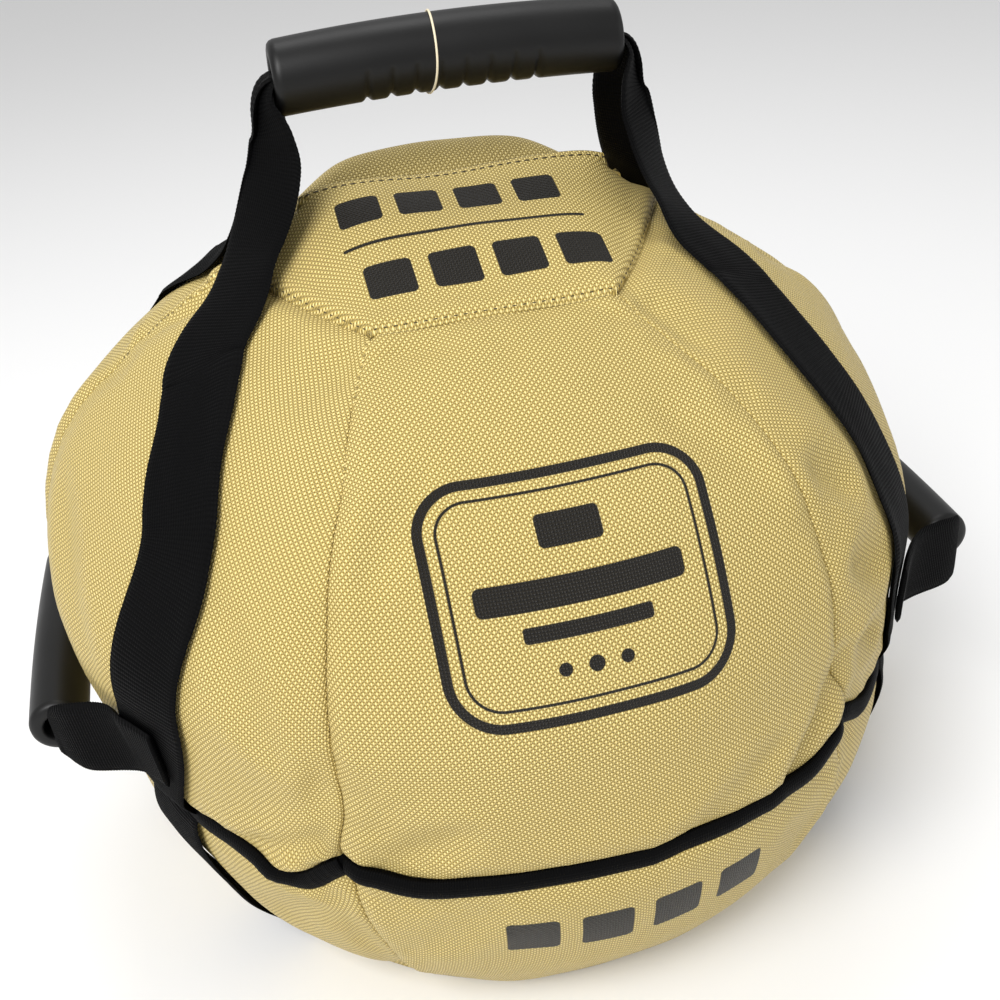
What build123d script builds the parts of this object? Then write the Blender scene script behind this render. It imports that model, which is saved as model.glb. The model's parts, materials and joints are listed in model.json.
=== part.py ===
from build123d import *
import os
from math import atan2, cos, degrees, hypot, radians, sin

# A round, six-sided training sandbag with three rubber grips on webbing.
# Millimetres. Z is up, the front panel faces -Y, the origin is under the middle of the base.

# Driving dimensions
waist_radius = 177.0
waist_height = 118.0
top_radius = 87.0
top_height = 274.0
base_radius = 124.0
crest_height = 294.0
side_dip = 9.0
corner_lift = 6.0
facet_angle = 15
panel_angle = 60

fabric = 1.8
band_height = 10.0
band_thickness = 1.3

webbing_width = 38.0
webbing_thickness = 2.4
folded_width = 20.0
folded_thickness = 5.0
side_folded_width = 16.0

grip_radius = 13.0
grip_length = 126.0
side_grip_radius = 11.0
side_grip_length = 120.0
grip_height = 342.0
handle_pivot_height = 310.0
side_grip_reach = 185.0
side_grip_height = 130.0
side_pivot_reach = 163.0
side_sewn_height = 144.0

zip_half_length = 60.0
zip_height = 285.4
zip_line = 9.0
zip_strip = 18.0
zip_end_height = 289.0
crest_half_length = 62.0
slider_rest = -38.0

filler_top = 262.0
sand_top = 258.0

# Height, corner radius, roundness from hexagon to circle, side dip, and strap azimuth from the side corner
base = (0.0, base_radius, 0.90, 0.0, 27.0)
low = (50.0, 159.0, 0.90, 0.4 * side_dip, 28.0)
waist = (waist_height, waist_radius, 0.90, side_dip, 32.0)
widest = (166.0, waist_radius, 0.97, 0.2 * side_dip, 38.0)
shoulder = (220.0, 159.0, 0.60, 0.0, 38.0)
brow = (250.0, 129.0, 0.30, 0.0, 32.0)
rim = (top_height, top_radius, 0.08, 0.0, 15.0)
lower_stations = [base, low, waist]
upper_stations = [waist, widest, shoulder, brow, rim]
all_stations = [base, low, waist, widest, shoulder, brow, rim]

panel_names = {0: "back_right", 60: "back", 120: "back_left", 180: "front_left", 240: "front", 300: "front_right"}


# Shapes made of flat triangles

def faceted_solid(triangles):
    """A closed solid from triangles, each a list of three points."""
    faces = [Face(Wire.make_polygon(points, close=True)) for points in triangles]
    return Solid(Shell(faces))


def plate(triangles):
    """A thin solid from triangles whose corners are pairs of an outer and an inner point."""
    faces = []
    edges = {}
    for triangle in triangles:
        faces.append([outer for outer, inner in triangle])
        faces.append([inner for outer, inner in reversed(triangle)])
        for start, end in zip(triangle, triangle[1:] + triangle[:1]):
            edges[frozenset((start, end))] = None if frozenset((start, end)) in edges else (start, end)
    for edge in edges.values():
        if edge:
            (outer_start, inner_start), (outer_end, inner_end) = edge
            faces.append([outer_end, outer_start, inner_start])
            faces.append([outer_end, inner_start, inner_end])
    return faceted_solid(faces)


def grid_plate(rows):
    """A thin solid from rows of pairs of an outer and an inner point."""
    triangles = []
    for below, above in zip(rows, rows[1:]):
        for column in range(len(below) - 1):
            a, b = below[column], below[column + 1]
            c, d = above[column + 1], above[column]
            triangles += [[a, b, c], [a, c, d]]
    return plate(triangles)


def flipped(point, x_sign, y_sign):
    """A point mirrored into another quarter of the bag."""
    return (point[0] * x_sign, point[1] * y_sign, point[2])


# The bag's skin

def skin_point(station, azimuth, inset=0.0, drop=0.0):
    """A point of the bag's outer surface, or inset from it, at one station and azimuth."""
    height, corner_radius, roundness, dip = station[:4]
    hexagon = cos(radians(30)) / cos(radians(azimuth % panel_angle - 30))
    side = abs(cos(radians(azimuth))) ** 8
    radius = corner_radius * ((1 - roundness) * hexagon + roundness) - dip * side - inset
    lift = corner_lift * side if station is rim else 0.0
    return (radius * cos(radians(azimuth)), radius * sin(radians(azimuth)), height + lift - drop)


def skin_panel(stations, first_azimuth):
    """One gore between two corner seams."""
    azimuths = range(first_azimuth, first_azimuth + panel_angle + 1, facet_angle)
    rows = []
    for station in stations:
        rows.append([(skin_point(station, a), skin_point(station, a, fabric)) for a in azimuths])
    return grid_plate(rows)


def dropped(point):
    """A top panel's point with the point one fabric thickness below it."""
    x, y, z = point
    return (point, (x, y, z - fabric))


def top_panel(side, ridge_y, ridge_z):
    """Half of the top: side is -1 for the front half and +1 for the back half."""
    left_end = (-crest_half_length, ridge_y, ridge_z)
    right_end = (crest_half_length, ridge_y, ridge_z)
    azimuths = range(0, 181, facet_angle)
    edge = [skin_point(rim, side * a, fabric + 0.2) for a in azimuths]
    middle = len(edge) // 2
    triangles = [[right_end, a, b] for a, b in zip(edge[:middle], edge[1:middle + 1])]
    triangles.append([right_end, edge[middle], left_end])
    triangles += [[left_end, a, b] for a, b in zip(edge[middle:], edge[middle + 1:])]
    if ridge_y:
        triangles.append([right_end, (crest_half_length, 0.0, zip_end_height), edge[0]])
        triangles.append([left_end, edge[-1], (-crest_half_length, 0.0, zip_end_height)])
    if side < 0:
        triangles = [list(reversed(triangle)) for triangle in triangles]
    return plate([[dropped(point) for point in triangle] for triangle in triangles])


def filled_body(inset, floor, top):
    """The closed space inside the skin, from floor up to a flat top."""
    up = (top - brow[0]) / (rim[0] - brow[0])
    cap_radius = brow[1] + up * (rim[1] - brow[1]) - fabric
    cap = (top, cap_radius) + brow[2:]
    stations = [(floor,) + base[1:], low, waist, widest, shoulder, brow, cap]
    azimuths = list(range(0, 360, facet_angle))
    rings = [[skin_point(station, a, inset) for a in azimuths] for station in stations]
    triangles = []
    for below, above in zip(rings, rings[1:]):
        for i in range(len(azimuths)):
            j = (i + 1) % len(azimuths)
            triangles += [[below[i], below[j], above[j]], [below[i], above[j], above[i]]]
    for ring, height, order in ((rings[0], floor, -1), (rings[-1], top, 1)):
        for i in range(len(azimuths)):
            j = (i + 1) % len(azimuths)
            triangles.append([(0.0, 0.0, height), ring[i], ring[j]][::order])
    return faceted_solid(triangles)


def bottom_panel():
    clearance = 0.2
    outline = [skin_point(base, a, fabric + clearance)[:2] for a in range(0, 360, facet_angle)]
    return extrude(make_face(Polyline(*outline, close=True)), fabric)


def waist_band():
    """Flat tape over the waist seam, all the way round."""
    gap = 1.1
    azimuths = range(0, 360, facet_angle)
    half = band_height / 2

    def ring(offset):
        outline = [skin_point(waist, a, -offset)[:2] for a in azimuths]
        sketch = make_face(Polyline(*outline, close=True))
        return extrude(Pos(0, 0, waist_height - half) * sketch, band_height)

    return ring(gap + band_thickness) - ring(gap)


# Webbing sewn to the skin

def body_strap(x_sign, y_sign):
    """One strap from the base seam, up the side and over the shoulder, to the foot of the top handle."""
    lift = 3.7
    rows = []
    for station in all_stations:
        centre = station[4]
        radius = hypot(*skin_point(station, centre)[:2])
        half = degrees(atan2(webbing_width / 2, radius))
        row = []
        for azimuth in (centre - half, centre + half):
            outer = skin_point(station, azimuth, -lift - webbing_thickness)
            inner = skin_point(station, azimuth, -lift)
            row.append((outer, inner))
        rows.append(row)
    foot_reach = crest_half_length + folded_thickness + 2.0
    foot_height = handle_pivot_height + 8.0
    foot = []
    for y in (0.6, 0.6 + folded_width):
        outer = (foot_reach + webbing_thickness, y, foot_height)
        foot.append((outer, (foot_reach, y, foot_height)))
    rows.append(foot)
    rows = [[(flipped(a, x_sign, y_sign), flipped(b, x_sign, y_sign)) for a, b in row] for row in rows]
    if x_sign * y_sign < 0:
        rows = [row[::-1] for row in rows]
    return grid_plate(rows)


def station_between(lower, upper, height):
    """The station at a height between two stations."""
    share = (height - lower[0]) / (upper[0] - lower[0])
    return tuple(a + share * (b - a) for a, b in zip(lower, upper))


def anchor_patches(x_sign):
    """The two sewn squares that hold a side handle to its straps."""
    lift = 7.6
    thickness = 1.2
    patches = []
    for y_sign in (-1, 1):
        rows = []
        for height in (side_sewn_height - 12.0, side_sewn_height + 12.0):
            station = station_between(waist, widest, height)
            row = []
            for azimuth in (station[4] - 4.5, station[4] + 4.5):
                outer = skin_point(station, azimuth, -lift - thickness)
                inner = skin_point(station, azimuth, -lift)
                row.append((flipped(outer, x_sign, y_sign), flipped(inner, x_sign, y_sign)))
            rows.append(row[::-1] if x_sign * y_sign < 0 else row)
        patches.append(grid_plate(rows))
    return Compound(children=patches)


# Grips

def grip(radius, length, slot_width, slot_height):
    """A rubber tube along X with finger notches under its middle and a slot for the webbing."""
    notch_count = 8
    notch_pitch = 8.8
    notch_radius = 1.7
    tube = Rot(0, 90, 0) * Cylinder(radius, length)
    ends = tube.edges().filter_by(GeomType.CIRCLE)
    tube = fillet(ends, 3.0)
    tube -= Box(length, slot_width, slot_height)
    for i in range(notch_count):
        x = (i - (notch_count - 1) / 2) * notch_pitch
        tube -= Pos(x, 0, -radius) * Rot(90, 0, 0) * Cylinder(notch_radius, 2 * radius)
    return tube


def ribbon(path, widths, thickness, place):
    """Folded webbing: place(u, v, w) carries a path point in a plane, and w across its width, into space."""
    rows = []
    for i, ((u, v), width) in enumerate(zip(path, widths)):
        before = path[max(i - 1, 0)]
        after = path[min(i + 1, len(path) - 1)]
        du, dv = after[0] - before[0], after[1] - before[1]
        size = hypot(du, dv)
        nu, nv = -dv / size * thickness / 2, du / size * thickness / 2
        rows.append([(place(u + nu, v + nv, w), place(u - nu, v - nv, w)) for w in (-width / 2, width / 2)])
    return grid_plate(rows)


def top_grip_webbing():
    """Both loops folded together: up from the left pivot, through the grip and down to the right pivot."""
    riser = crest_half_length + folded_thickness / 2 + 1.5
    foot = handle_pivot_height - 8.0
    bend = 2.8
    left = [(-riser, foot), (-riser, grip_height - bend), (-riser + bend, grip_height)]
    path = left + [(-x, z) for x, z in reversed(left)]
    widths = [folded_width] * len(path)
    return ribbon(path, widths, folded_thickness, lambda x, z, y: (x, y, z))


def side_grip_webbing(x_sign):
    """Folded webbing from the front strap, through a side grip and back to the back strap."""
    reach = side_grip_reach
    end = side_grip_length / 2
    front = [(side_pivot_reach, -97.0), (reach - 9.0, -78.0), (reach - 2.0, -end - 5.0), (reach, -end - 1.0)]
    path = front + [(x, -y) for x, y in reversed(front)]
    end_widths = [0.6 * side_folded_width, side_folded_width, side_folded_width, side_folded_width]
    widths = end_widths + end_widths[::-1]
    if x_sign < 0:
        path = [(-x, y) for x, y in reversed(path)]

    def place(x, y, z):
        slope = (side_sewn_height - side_grip_height) / 36.0
        return (x, y, side_grip_height + z + slope * max(0.0, abs(y) - end - 2.0))

    return ribbon(path, widths, folded_thickness, place)


def grip_thread():
    """A loop of thread round the top grip."""
    thread = 0.8
    offset = -6.5
    ring = Cylinder(grip_radius + thread, thread) - Cylinder(grip_radius, thread)
    return Pos(offset, 0, grip_height) * Rot(0, 90, 0) * ring


# Zip along the top

def zip_tape(side):
    """One tape, from the row of teeth out to the panel's edge."""
    tape_width = 10.0
    tape_thickness = 0.6
    centre = zip_line + side * (0.8 + tape_width / 2)
    return Pos(0, centre, zip_height + tape_thickness / 2) * Box(2 * zip_half_length, tape_width, tape_thickness)


def zip_teeth(side):
    """One row of teeth, which interlocks with the other row."""
    pitch = 3.0
    tooth = Box(1.3, 2.2, 1.6)
    count = 36
    teeth = []
    for i in range(count):
        x = (i - (count - 1) / 2) * pitch + side * pitch / 4
        teeth.append(Pos(x, zip_line + side * 0.7, zip_height + 1.4) * tooth)
    return Compound(children=teeth)


def zip_stops():
    """The bars that end the two rows of teeth."""
    stops = []
    for x in (-zip_half_length + 2.0, zip_half_length - 2.0):
        stops.append(Pos(x, zip_line, zip_height + 1.6) * Box(2.0, 5.0, 2.0))
    return Compound(children=stops)


def zip_slider():
    """A channel over the teeth with a bridge for the pull tab."""
    length = 10.0
    width = 8.4
    low_side = zip_height + 0.9
    roof = zip_height + 2.7
    shell = Pos(0, 0, low_side) * Box(length, width, 3.2, align=(Align.CENTER, Align.CENTER, Align.MIN))
    channel = Pos(0, 0, low_side) * Box(length, 5.2, 1.8, align=(Align.CENTER, Align.CENTER, Align.MIN))
    bridge = Pos(0, 0, roof + 1.4) * Box(7.0, 2.4, 3.0, align=(Align.CENTER, Align.CENTER, Align.MIN))
    window = Pos(0, 0, roof + 1.4) * Box(4.0, 2.4, 2.1, align=(Align.CENTER, Align.CENTER, Align.MIN))
    return Pos(slider_rest, zip_line, 0) * (shell - channel + bridge - window)


def zip_pull_tab():
    """A flat tab whose loop passes through the slider's bridge."""
    pin_height = zip_height + 5.15
    length = 24.0
    width = 7.0
    thickness = 1.2
    loop = Box(length, width, thickness, align=(Align.MIN, Align.CENTER, Align.CENTER))
    loop = Pos(-0.6, 0, 0) * loop
    eye = Pos(4.4, 0, 0) * Box(7.6, 3.4, thickness)
    return Pos(slider_rest, zip_line, pin_height) * (loop - eye)


# Filler bag inside the skin

def filler_bag():
    """A thin sack with a mouth in its flat top."""
    wall = 1.0
    sack = filled_body(2.4, 2.4, filler_top) - filled_body(2.4 + wall, 2.4 + wall, filler_top - wall)
    return sack - Pos(0, 0, filler_top) * Box(100, 30, 6)


def filler_bag_flap():
    """The mouth's cover, sewn down along its front edge."""
    cover = Pos(0, 0, filler_top + 2.9) * Box(112, 68, 1.0)
    seam = Pos(0, -31, filler_top + 1.2) * Box(112, 6, 2.4)
    return cover + seam


def closure_strip(level):
    """Hook or loop tape between the flap and the sack."""
    thickness = 1.2
    return Pos(0, 26, filler_top + (level + 0.5) * thickness) * Box(96, 12, thickness)


def build():
    nodes = {}
    for azimuth, name in panel_names.items():
        nodes[name + "_panel"] = skin_panel(upper_stations, azimuth)
        nodes["lower_" + name + "_panel"] = skin_panel(lower_stations, azimuth)
    nodes["top_front_panel"] = top_panel(-1, 0.0, crest_height)
    nodes["top_back_panel"] = top_panel(1, zip_strip, zip_height)
    nodes["bottom_panel"] = bottom_panel()
    nodes["waist_band"] = waist_band()

    for x_sign, side in ((-1, "left"), (1, "right")):
        nodes["front_" + side + "_strap"] = body_strap(x_sign, -1)
        nodes["back_" + side + "_strap"] = body_strap(x_sign, 1)
        nodes[side + "_anchor_patches"] = anchor_patches(x_sign)
        place = Pos(x_sign * side_grip_reach, 0, side_grip_height) * Rot(0, 0, 90)
        nodes[side + "_grip"] = place * grip(side_grip_radius, side_grip_length, folded_thickness, side_folded_width)
        nodes[side + "_grip_webbing"] = side_grip_webbing(x_sign)

    nodes["top_grip"] = Pos(0, 0, grip_height) * grip(grip_radius, grip_length, folded_width, folded_thickness)
    nodes["top_grip_webbing"] = top_grip_webbing()
    nodes["grip_thread"] = grip_thread()

    for side, name in ((-1, "front"), (1, "back")):
        nodes["zip_tape_" + name] = zip_tape(side)
        nodes["zip_teeth_" + name] = zip_teeth(side)
    nodes["zip_stops"] = zip_stops()
    nodes["zip_slider"] = zip_slider()
    nodes["zip_pull_tab"] = zip_pull_tab()

    nodes["filler_bag"] = filler_bag()
    nodes["filler_bag_flap"] = filler_bag_flap()
    nodes["loop_strip"] = closure_strip(0)
    nodes["hook_strip"] = closure_strip(1)
    nodes["sand_fill"] = filled_body(3.6, 3.6, sand_top)
    return nodes


os.makedirs("parts", exist_ok=True)
for node_name, shape in build().items():
    export_step(shape, f"parts/{node_name}.step")
    print(node_name, round(shape.volume))
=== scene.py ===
import json
import math

import bpy
import numpy as np
from mathutils import Matrix, Vector
from mathutils.bvhtree import BVHTree


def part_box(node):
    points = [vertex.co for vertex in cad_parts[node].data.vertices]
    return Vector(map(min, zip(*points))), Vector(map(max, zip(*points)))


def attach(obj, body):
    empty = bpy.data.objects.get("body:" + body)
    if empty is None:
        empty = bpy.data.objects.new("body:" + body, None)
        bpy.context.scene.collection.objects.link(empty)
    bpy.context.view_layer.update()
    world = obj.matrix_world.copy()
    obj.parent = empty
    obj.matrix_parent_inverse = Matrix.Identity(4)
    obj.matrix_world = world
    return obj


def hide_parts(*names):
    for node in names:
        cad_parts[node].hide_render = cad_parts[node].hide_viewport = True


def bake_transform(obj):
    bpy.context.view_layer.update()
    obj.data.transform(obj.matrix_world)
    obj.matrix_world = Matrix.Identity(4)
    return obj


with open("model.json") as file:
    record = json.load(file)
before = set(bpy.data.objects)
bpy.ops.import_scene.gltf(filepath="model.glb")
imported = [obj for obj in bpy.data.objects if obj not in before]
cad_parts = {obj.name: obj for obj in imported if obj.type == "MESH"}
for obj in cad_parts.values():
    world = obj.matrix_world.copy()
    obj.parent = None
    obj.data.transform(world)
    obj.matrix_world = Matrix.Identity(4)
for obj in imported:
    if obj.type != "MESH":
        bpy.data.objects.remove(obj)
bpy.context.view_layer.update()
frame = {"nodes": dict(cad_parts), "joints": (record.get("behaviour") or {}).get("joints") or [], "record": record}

# The looks of a round six-sided training sandbag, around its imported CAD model. Metres, Z up, front at -Y.

MM = 0.001


# ---------------------------------------------------------------- sizes from the frame

def box(node):
    low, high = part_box(node)
    return np.array(low, float), np.array(high, float)


def joint_position(name):
    found = [j for j in frame["joints"] if j["name"] == name][0]
    return np.array(found["pos_m"], float)


band_low, band_high = box("waist_band")
bottom_high = box("bottom_panel")[1]
rim_high = box("top_front_panel")[1]
tape_low = box("zip_tape_front")[0]
grip_low, grip_high = box("top_grip")
left_low, left_high = box("left_grip")

WAIST = 0.5 * (band_low[2] + band_high[2])
WAIST_RADIUS = band_high[1]
BASE_RADIUS = bottom_high[0] + 2 * MM
RIM_RADIUS = rim_high[0] + 2 * MM
RIM = box("front_panel")[1][2]
CREST = rim_high[2]
SIDE_DIP = 9 * MM
CORNER_LIFT = 6 * MM
SLUMP = 6 * MM
# The waist seam's sag between corners, its deeper sag near one azimuth, and its cusps at the corners
WAIST_SAG = 7.5 * MM
DEEP_SAG, DEEP_SAG_AT, DEEP_SAG_REACH = 8.5 * MM, 233, 5.0
WAIST_CUSP, CUSP_REACH = 6.5 * MM, 4.5
WAVE_REACH = 28 * MM
# How far the waist is drawn in, and how far that reaches above and below it
WAIST_PINCH, PINCH_ABOVE, PINCH_BELOW = 4 * MM, 7 * MM, 24 * MM
# A dent in the left side: depth, height of its middle, and reach
LEFT_DENT, LEFT_DENT_Z, LEFT_DENT_REACH = 4.5 * MM, 0.125, 0.022
# Degrees by which the front seams lean: the left, the right, and the right's extra below the shoulder
LEFT_LEAN, RIGHT_LEAN, RIGHT_LEAN_LOW, LEAN_REACH = 2.3, 2.2, 5.0, 24
LIP_RISE = 7.5 * MM
LIP_BACK = 3 * MM
BACK_HUMP = 20 * MM
SLIT_HALF = 62 * MM
SLIT_BACK = 18 * MM
SLIT_BACK_Z = tape_low[2]
PIVOT = joint_position("top_handle_swing")

# Height, corner radius, roundness from hexagon to circle, side dip, strap azimuth from the side corner
STATIONS = np.array([
    (0.000, BASE_RADIUS, 0.90, 0.0, 27.0),
    (0.050, 0.898 * WAIST_RADIUS, 0.90, 0.4, 28.0),
    (WAIST, WAIST_RADIUS, 0.90, 1.0, 32.0),
    (0.166, 1.000 * WAIST_RADIUS, 0.95, 0.2, 38.0),
    (0.220, 0.905 * WAIST_RADIUS, 0.60, 0.0, 38.0),
    (0.250, 0.738 * WAIST_RADIUS, 0.32, 0.0, 32.0),
    (RIM, RIM_RADIUS, 0.08, 0.0, 15.5),
])


def smooth(x, xs, ys):
    """A smooth curve through points: cubic, with slopes that never overshoot."""
    x = np.clip(np.asarray(x, float), xs[0], xs[-1])
    h = np.diff(xs)
    d = np.diff(ys) / h
    slopes = np.zeros(len(xs))
    slopes[0], slopes[-1] = d[0], d[-1]
    for i in range(1, len(xs) - 1):
        if d[i - 1] * d[i] > 0:
            w1, w2 = 2 * h[i] + h[i - 1], h[i] + 2 * h[i - 1]
            slopes[i] = (w1 + w2) / (w1 / d[i - 1] + w2 / d[i])
    i = np.clip(np.searchsorted(xs, x) - 1, 0, len(h) - 1)
    t = (x - xs[i]) / h[i]
    a = (1 + 2 * t) * (1 - t) ** 2 * ys[i] + t * (1 - t) ** 2 * h[i] * slopes[i]
    b = t * t * (3 - 2 * t) * ys[i + 1] + t * t * (t - 1) * h[i] * slopes[i + 1]
    return a + b


# ---------------------------------------------------------------- the bag before it is filled

PANELS = {0: "back_right", 60: "back", 120: "back_left", 180: "front_left", 240: "front", 300: "front_right"}
SIM_COLUMNS = 34
COLUMN_CROWD, ROW_CROWD = 0.55, 0.35
LOW_ROWS, HIGH_ROWS, TOP_ROWS, FLOOR_ROWS = 18, 32, 14, 8


def graded(count, crowd):
    """count + 1 values from 0 to 1, crowded towards both ends."""
    x = np.linspace(0, 1, count + 1)
    return x - crowd * np.sin(2 * np.pi * x) / (2 * np.pi)


def ring_azimuths(per_panel, crowd):
    step = 60 * graded(per_panel, crowd)[:-1]
    return np.concatenate([start + step for start in PANELS])


def seam_distance(azimuth):
    """Degrees to the nearest corner seam."""
    return np.abs((np.asarray(azimuth) + 30) % 60 - 30)


def side_weight(azimuth):
    return np.abs(np.cos(np.radians(azimuth))) ** 8


def waist_wave(azimuth):
    """The waist seam sags under the filling and is drawn up where it meets the corner seams."""
    sag = WAIST_SAG + DEEP_SAG * np.exp(-((azimuth - DEEP_SAG_AT) / DEEP_SAG_REACH) ** 2)
    return WAIST_CUSP * np.exp(-(seam_distance(azimuth) / CUSP_REACH) ** 2) - sag


def ease(t):
    t = np.clip(t, 0, 1)
    return t * t * (3 - 2 * t)


def swell(distance, size, reach, middle=0.0):
    """A bell-shaped rise over a distance in metres: size, reach and the place of its middle in mm."""
    return size * MM * np.exp(-((distance - middle * MM) / (reach * MM)) ** 2)


def seam_lean(azimuth, height):
    """Degrees by which the two front seams lean to the right."""
    below_rim = ease((RIM - height) / 0.03)
    left = LEFT_LEAN * ease((height - 0.12) / 0.03) * np.exp(-((azimuth - 240) / LEAN_REACH) ** 2)
    right = (RIGHT_LEAN + RIGHT_LEAN_LOW * ease((0.165 - height) / 0.05)) * ease(height / 0.06)
    right = right * np.exp(-((azimuth - 300) / LEAN_REACH) ** 2)
    return (left + right) * below_rim


def slump(height):
    """The sand has settled a little to the left of the base."""
    return SLUMP * ease((height - 0.05) / 0.11)


def skin(azimuth, height):
    """Points of the filled bag's side."""
    zs = STATIONS[:, 0]
    radius, roundness, dip = (smooth(height, zs, STATIONS[:, k]) for k in (1, 2, 3))
    hexagon = math.cos(math.radians(30)) / np.cos(np.radians(azimuth % 60 - 30))
    r = radius * ((1 - roundness) * hexagon + roundness) - SIDE_DIP * dip * side_weight(azimuth)
    pressed = side_weight(azimuth) * (np.cos(np.radians(azimuth)) < 0)
    r = r - LEFT_DENT * pressed * np.exp(-((height - LEFT_DENT_Z) / LEFT_DENT_REACH) ** 2)
    above = height - WAIST
    r = r - WAIST_PINCH * np.exp(-(above / np.where(above > 0, PINCH_ABOVE, PINCH_BELOW)) ** 2)
    lift = CORNER_LIFT * side_weight(azimuth) * np.clip((height - 0.25) / (RIM - 0.25), 0, 1)
    wave = waist_wave(azimuth) * np.exp(-((height - WAIST) / WAVE_REACH) ** 2)
    a = np.radians(azimuth + seam_lean(azimuth, height))
    return np.stack([r * np.cos(a) - slump(height), r * np.sin(a), height + lift + wave], -1)


def profile_rows():
    """Heights of the rows, evenly spaced along the side's curve."""
    heights = np.linspace(0, RIM, 800)
    line = skin(np.full_like(heights, 270.0), heights)
    arc = np.concatenate([[0], np.cumsum(np.linalg.norm(np.diff(line, axis=0), axis=1))])
    at_waist = np.interp(WAIST, heights, arc)
    low = at_waist * graded(LOW_ROWS, ROW_CROWD)
    high = at_waist + (arc[-1] - at_waist) * graded(HIGH_ROWS, ROW_CROWD)
    return np.interp(np.concatenate([low, high[1:]]), arc, heights)


def slit_ring(azimuths, rim):
    """The rounded outline round the zip: the front lip at Y = 0, the back edge behind the zip."""
    front = azimuths > 180
    x = np.clip((rim[:, 0] + SLUMP) * SLIT_HALF / RIM_RADIUS, -SLIT_HALF, SLIT_HALF)
    near_end = np.sqrt(np.clip((SLIT_HALF - np.abs(x)) / (5 * MM), 0, 1))
    middle, half = 0.5 * (SLIT_BACK + LIP_BACK), 0.5 * (SLIT_BACK - LIP_BACK)
    y = middle + np.where(front, -half, half) * near_end
    lip = CREST + LIP_RISE * (1 - 0.7 * np.abs(x / SLIT_HALF) ** 8)
    lip = lip - swell(x, 1.5, 20, -5)
    z = np.where(front, lip, SLIT_BACK_Z + 1.5 * MM)
    share = ease((near_end - 0.72) / 0.28)
    z = z * share + (1 - share) * (SLIT_BACK_Z + 1.2 * MM)
    return np.stack([x, y, z], -1)


def start_shape():
    """The whole bag as rings of points, from the middle of the floor to the zip, and what each row is."""
    azimuths = ring_azimuths(SIM_COLUMNS, COLUMN_CROWD)
    rows, kinds = [], []
    base = skin(azimuths, np.zeros_like(azimuths))
    for k in range(1, FLOOR_ROWS):
        rows.append(base * [k / FLOOR_ROWS, k / FLOOR_ROWS, 0])
        kinds.append("floor")
    for height in profile_rows():
        rows.append(skin(azimuths, np.full_like(azimuths, height)))
        kinds.append("low" if height < WAIST - 1e-6 else "high")
    kinds[kinds.index("high")] = "waist"
    rim = rows[-1]
    kinds[-1] = "rim"
    slit = slit_ring(azimuths, rim)
    for k in range(1, TOP_ROWS + 1):
        s = k / TOP_ROWS
        row = rim * (1 - s) + slit * s
        hump = BACK_HUMP * np.sin(np.pi * s ** 1.2) * (1 - np.abs(np.cos(np.radians(azimuths))) ** 4)
        row[:, 2] += np.where(azimuths < 180, hump, 3 * MM * np.sin(np.pi * s))
        if k < TOP_ROWS - 1:
            ring = np.concatenate([row[-30:], row, row[:30]])
            row = blur(ring, 0.3 + 7.0 * math.sin(math.pi * s) ** 0.8)[30:-30]
        rows.append(row)
        kinds.append("top")
    return azimuths, np.array(rows), kinds


def ring_faces(rows, columns, base=0):
    faces = []
    for r in range(rows - 1):
        for c in range(columns):
            n = (c + 1) % columns
            faces.append((base + r * columns + c, base + r * columns + n,
                          base + (r + 1) * columns + n, base + (r + 1) * columns + c))
    return faces


# ---------------------------------------------------------------- filling it by cloth simulation

CLOTH_FRAMES = 22
CLOTH_OUT, CLOTH_IN, CLOTH_SLIDE = 7 * MM, 2.5 * MM, 2 * MM
CLOTH_SETTINGS = {
    "quality": 6, "mass": 0.25, "tension_stiffness": 25, "compression_stiffness": 25, "shear_stiffness": 8,
    "bending_stiffness": 0.6, "tension_damping": 12, "compression_damping": 12, "air_damping": 4,
    "vertex_group_mass": "pin", "pin_stiffness": 1.0, "shrink_min": -0.012, "shrink_max": 0.012,
    "vertex_group_shrink": "tight", "use_pressure": True, "uniform_pressure_force": 3.0,
}
# How much of the simulated movement is kept from the row below the rim up, and round the waist
RIM_SHARES = (0.7, 0.3, 0.2, 0.1)
WAIST_SHARES = (0.75, 0.5, 0.3, 0.45, 0.6, 0.8)


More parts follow.
